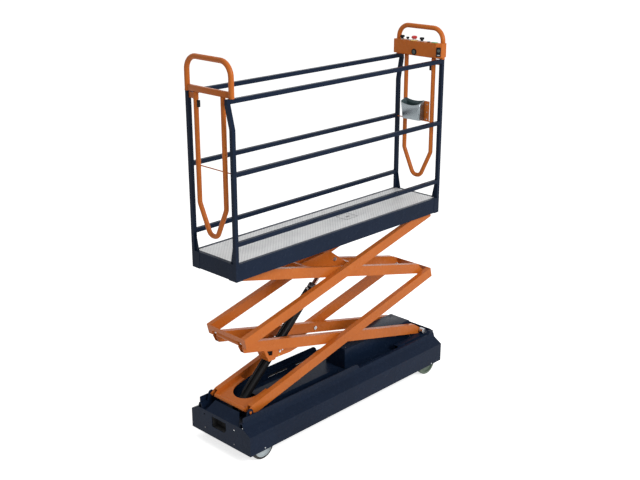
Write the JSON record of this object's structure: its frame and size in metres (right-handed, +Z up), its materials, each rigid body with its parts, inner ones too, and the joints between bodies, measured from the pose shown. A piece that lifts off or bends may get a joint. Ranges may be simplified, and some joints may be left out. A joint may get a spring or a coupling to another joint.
{
  "type": "scissor lift",
  "caption": "Narrow wheeled scissor lift: low floor tray on wheels, crossed arms raised by one slanting cylinder, railed platform with swinging end gates and controls.",
  "frame": {"origin": "on the ground under the middle of the machine", "axes": "+X along the machine towards the control box, +Y across to the far side of the picture, +Z up"},
  "size_m": [2.23, 0.632, 2.831],
  "materials": {
    "navy_paint": "semi-gloss dark navy blue paint",
    "orange_paint": "semi-gloss orange paint",
    "bright_steel": "bright zinc plated steel",
    "black_paint": "black gloss paint",
    "rod_steel": "polished rod",
    "battery_case": "dark battery cases",
    "worn_track": "navy paint worn bright where the roller runs",
    "black_tread": "black tread",
    "green_tread": "grey-green tread",
    "wheel_disc": "light grey wheel disc",
    "tread_plate": "patterned plate",
    "galvanised_sheet": "galvanised sheet",
    "black_plastic": "black moulded knobs"
  },
  "bodies": {
    "base": {"base_tray": "navy_paint", "left_end_plate": "navy_paint", "right_end_cap": "navy_paint", "guard_strips": "navy_paint", "well_cover": "navy_paint", "power_housing": "navy_paint", "battery_block": "battery_case", "roller_tracks": "worn_track", "pivot_lugs": "navy_paint", "foot_clevis": "navy_paint", "axle_brackets": "navy_paint", "axles": "bright_steel"},
    "arm_a1": {"a1_arms": "orange_paint", "a1_foot": "orange_paint", "a1_end_plate": "orange_paint", "a1_pins": "bright_steel"},
    "arm_b1": {"b1_arms": "orange_paint", "b1_cross_tube": "orange_paint", "b1_brackets": "orange_paint", "b1_rollers": "bright_steel"},
    "arm_a2": {"a2_arms": "orange_paint", "a2_end_plate": "orange_paint", "a2_pins": "bright_steel", "a2_rollers": "bright_steel"},
    "arm_b2": {"b2_arms": "orange_paint", "b2_eyes": "orange_paint", "b2_cross_tubes": "orange_paint", "b2_lugs": "orange_paint", "b2_pins": "bright_steel"},
    "cylinder_barrel": {"barrel": "black_paint"},
    "cylinder_rod": {"rod": "rod_steel"},
    "platform": {"side_channels": "navy_paint", "end_panels": "navy_paint", "deck": "tread_plate", "deck_lugs": "navy_paint", "posts": "navy_paint", "rails": "navy_paint", "end_frame_left": "orange_paint", "end_frame_right": "orange_paint", "gate_sleeves": "orange_paint", "control_box": "orange_paint", "control_knobs": "black_plastic"},
    "gate_left": {"gate_left": "orange_paint"},
    "gate_right": {"gate_right": "orange_paint", "document_bin": "galvanised_sheet"},
    "wheel_left_near": {"tyre_left_near": "black_tread", "disc_left_near": "wheel_disc"},
    "wheel_left_far": {"tyre_left_far": "black_tread", "disc_left_far": "wheel_disc"},
    "wheel_right_near": {"tyre_right_near": "green_tread", "disc_right_near": "wheel_disc"},
    "wheel_right_far": {"tyre_right_far": "green_tread", "disc_right_far": "wheel_disc"}
  },
  "joints": [
    {"name": "roll_left_near", "type": "hinge", "parent": "base", "child": "wheel_left_near", "pos_m": [-0.926, -0.27, 0.1], "axis": [0, 1, 0], "continuous": true},
    {"name": "roll_left_far", "type": "hinge", "parent": "base", "child": "wheel_left_far", "pos_m": [-0.926, 0.27, 0.1], "axis": [0, 1, 0], "continuous": true},
    {"name": "roll_right_near", "type": "hinge", "parent": "base", "child": "wheel_right_near", "pos_m": [0.926, -0.27, 0.1], "axis": [0, 1, 0], "continuous": true},
    {"name": "roll_right_far", "type": "hinge", "parent": "base", "child": "wheel_right_far", "pos_m": [0.926, 0.27, 0.1], "axis": [0, 1, 0], "continuous": true},
    {"name": "lift_a1", "type": "hinge", "parent": "base", "child": "arm_a1", "pos_m": [-0.975, 0, 0.3566], "axis": [0, -1, 0], "range_deg": [-7, 18]},
    {"name": "lift_b1", "type": "hinge", "parent": "arm_a1", "child": "arm_b1", "pos_m": [0.00588, 0, 0.58904], "axis": [0, -1, 0], "range_deg": [-36, 14]},
    {"name": "lift_b2", "type": "hinge", "parent": "arm_a1", "child": "arm_b2", "pos_m": [0.97812, 0, 0.85643], "axis": [0, -1, 0], "range_deg": [-36, 14]},
    {"name": "lift_a2", "type": "hinge", "parent": "arm_b2", "child": "arm_a2", "pos_m": [0.00588, 0, 1.12382], "axis": [0, -1, 0], "range_deg": [-14, 36]},
    {"name": "lift_platform", "type": "hinge", "parent": "arm_b2", "child": "platform", "pos_m": [-0.96635, 0, 1.39121], "axis": [0, -1, 0], "range_deg": [-7, 18]},
    {"name": "cylinder_swing", "type": "hinge", "parent": "base", "child": "cylinder_barrel", "pos_m": [-0.89, 0, 0.3], "axis": [0, -1, 0], "range_deg": [-9.8, 25.2]},
    {"name": "cylinder_slide", "type": "slide", "parent": "cylinder_barrel", "child": "cylinder_rod", "axis": [0.7276, 0, 0.686], "range_m": [-0.2077, 0.53408]},
    {"name": "swing_gate_left", "type": "hinge", "parent": "platform", "child": "gate_left", "pos_m": [-1.067, 0.134, 2], "axis": [0, 0, 1], "range_deg": [0, 70]},
    {"name": "swing_gate_right", "type": "hinge", "parent": "platform", "child": "gate_right", "pos_m": [1.067, -0.134, 2], "axis": [0, 0, 1], "range_deg": [0, 70]}
  ],
  "couplings": [
    {"joint": "lift_b1", "follows": "lift_a1", "ratio": -2},
    {"joint": "lift_b2", "follows": "lift_a1", "ratio": -2},
    {"joint": "lift_a2", "follows": "lift_a1", "ratio": 2},
    {"joint": "lift_platform", "follows": "lift_a1", "ratio": 1},
    {"joint": "cylinder_swing", "follows": "lift_a1", "ratio": 1.4},
    {"joint": "cylinder_slide", "follows": "lift_a1", "m_per_rad": 1.7}
  ]
}
